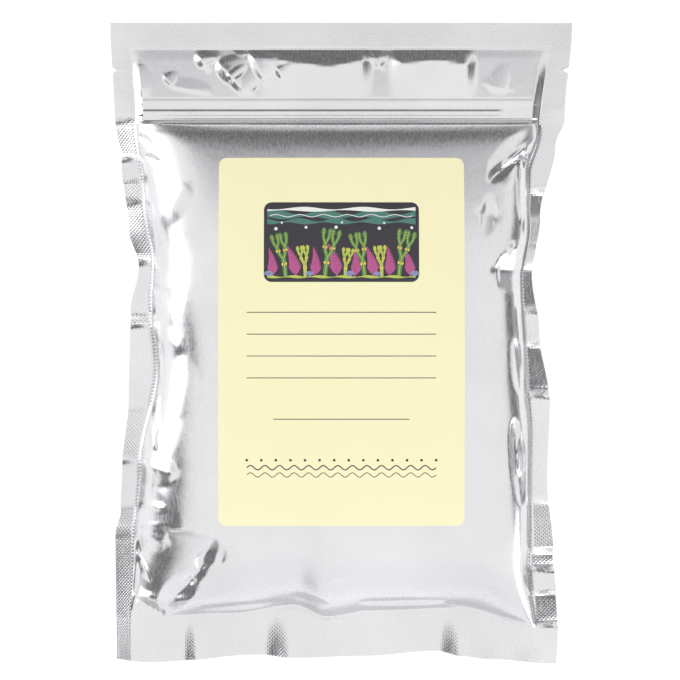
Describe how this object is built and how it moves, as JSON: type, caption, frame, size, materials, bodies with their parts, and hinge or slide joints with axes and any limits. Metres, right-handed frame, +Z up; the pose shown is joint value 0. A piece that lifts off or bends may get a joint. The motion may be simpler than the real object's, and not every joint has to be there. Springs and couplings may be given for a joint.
{
  "type": "filled foil zip pouch",
  "caption": "Filled and heat-sealed foil pouch with a press-to-close zip, tear notches and a plain ornamented paper label, lying on its back.",
  "frame": {"origin": "on the surface that the pouch lies on, under the middle of its outline", "axes": "+X across the pouch, +Y from its bottom seal to its zip and top seal, +Z up through the label"},
  "size_m": [0.1954, 0.2716, 0.0411],
  "materials": {
    "front_foil": "bright crinkled foil laminate",
    "back_foil": "bright crinkled foil laminate",
    "groove_plastic": "satin",
    "rib_plastic": "satin",
    "label_paper": "coated paper",
    "dried_seaweed": "dry and matt"
  },
  "bodies": {
    "root": {"front_panel": "front_foil", "back_panel": "back_foil", "zip_groove_strip": "groove_plastic", "zip_rib_strip": "rib_plastic", "label": "label_paper", "herb_fill": "dried_seaweed"}
  },
  "joints": []
}
